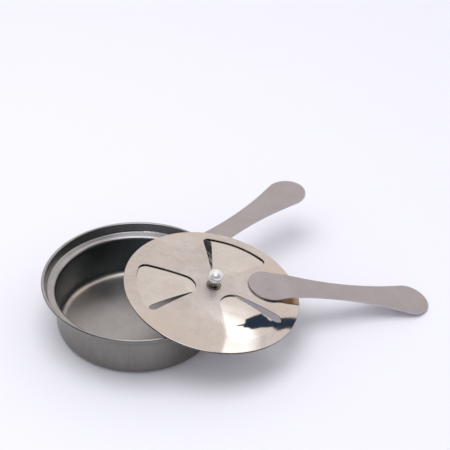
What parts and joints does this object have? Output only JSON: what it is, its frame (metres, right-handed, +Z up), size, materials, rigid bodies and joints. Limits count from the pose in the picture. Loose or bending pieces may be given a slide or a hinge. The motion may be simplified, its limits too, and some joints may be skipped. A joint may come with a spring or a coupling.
{
  "type": "fuel burner pan with regulating lid",
  "caption": "Shallow round metal fuel pan with a stepped rim and flat handle, and a loose domed lid with fan-shaped windows, a turning shutter under it, a ball knob and its own handle.",
  "frame": {"origin": "centre of the pan's base, on the surface it stands on", "axes": "+Z up; +X towards the side where the lid's handle comes down; the pan's handle points between +X and +Y"},
  "size_m": [0.2174, 0.1519, 0.0442],
  "materials": {
    "satin_steel": "satin drawn sheet",
    "handle_steel": "satin sheet",
    "mirror_steel": "polished sheet",
    "ball_steel": "polished",
    "dark_steel": "dark polished"
  },
  "bodies": {
    "pan": {"pan_bowl": "satin_steel", "pan_handle": "handle_steel"},
    "lid": {"lid_cover": "mirror_steel", "lid_handle": "handle_steel", "knob_washer": "dark_steel"},
    "shutter": {"shutter_plate": "mirror_steel", "shutter_knob": "ball_steel", "spring_washer": "dark_steel", "back_washer": "dark_steel"}
  },
  "joints": [
    {"name": "lid_lift", "type": "slide", "parent": "pan", "child": "lid", "axis": [0, 0, 1], "range_m": [0, 0.08]},
    {"name": "shutter_turn", "type": "hinge", "parent": "lid", "child": "shutter", "pos_m": [0.04139, -0.0073, 0.02889], "axis": [0.1818, -0.0387, 0.9826], "continuous": true}
  ]
}
